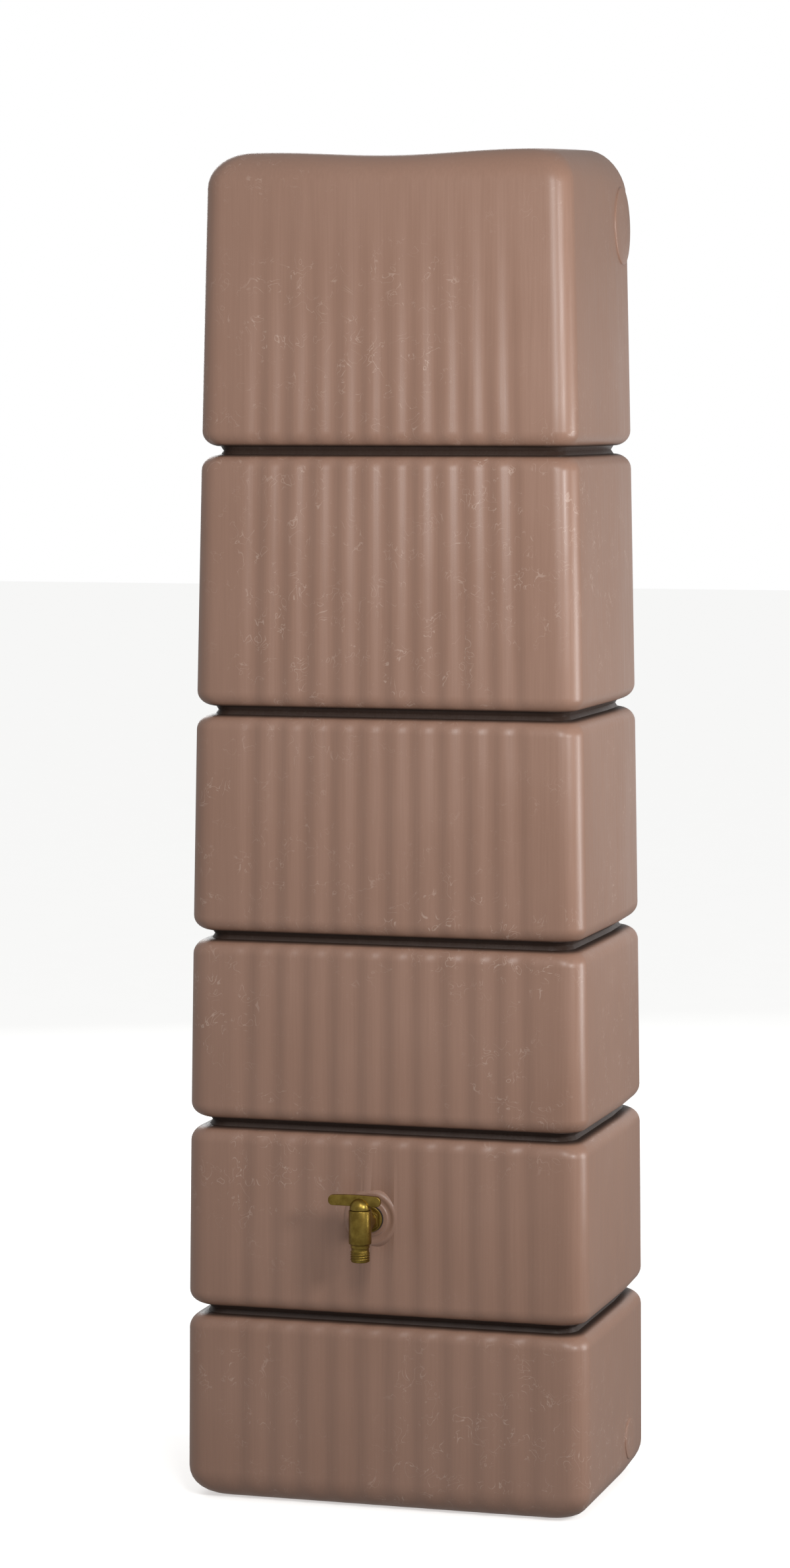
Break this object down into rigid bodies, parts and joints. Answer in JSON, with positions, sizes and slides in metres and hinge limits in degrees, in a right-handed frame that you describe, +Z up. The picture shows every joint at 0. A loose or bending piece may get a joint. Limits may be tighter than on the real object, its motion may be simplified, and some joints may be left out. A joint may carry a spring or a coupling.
{
  "type": "slimline water tank",
  "caption": "Tall flat-backed rainwater tank moulded in grooved blocks with a fluted front, a lift-off filler lid and a quarter-turn brass tap over a hose thread.",
  "frame": {"origin": "middle of the flat face of the base", "axes": "+Z up the tank, the fluted front and the tap towards -Y, +X to the right as seen from the front"},
  "size_m": [0.5786, 0.4482, 1.863],
  "materials": {
    "moulded_tank": "satin moulded polyethylene",
    "lid": "satin moulded polyethylene",
    "tap_brass": "fine turned and tumbled",
    "plug_brass": "turned",
    "seal_rubber": "matt",
    "spring_steel": "bright"
  },
  "bodies": {
    "tank": {"tank_shell": "moulded_tank", "threaded_insert": "plug_brass", "inlet_seal": "seal_rubber", "tap_body": "tap_brass", "plug_clip": "spring_steel"},
    "lever": {"tap_lever": "tap_brass", "valve_plug": "plug_brass", "plug_ring_lower": "seal_rubber", "plug_ring_upper": "seal_rubber"},
    "lid": {"tank_lid": "lid"}
  },
  "joints": [
    {"name": "lever_turn", "type": "hinge", "parent": "tank", "child": "lever", "pos_m": [-0.016, -0.24081, 0.4275], "axis": [0, 0, 1], "range_deg": [0, 90]},
    {"name": "lid_lift", "type": "slide", "parent": "tank", "child": "lid", "axis": [0, 0, 1], "range_m": [0, 0.15]}
  ]
}
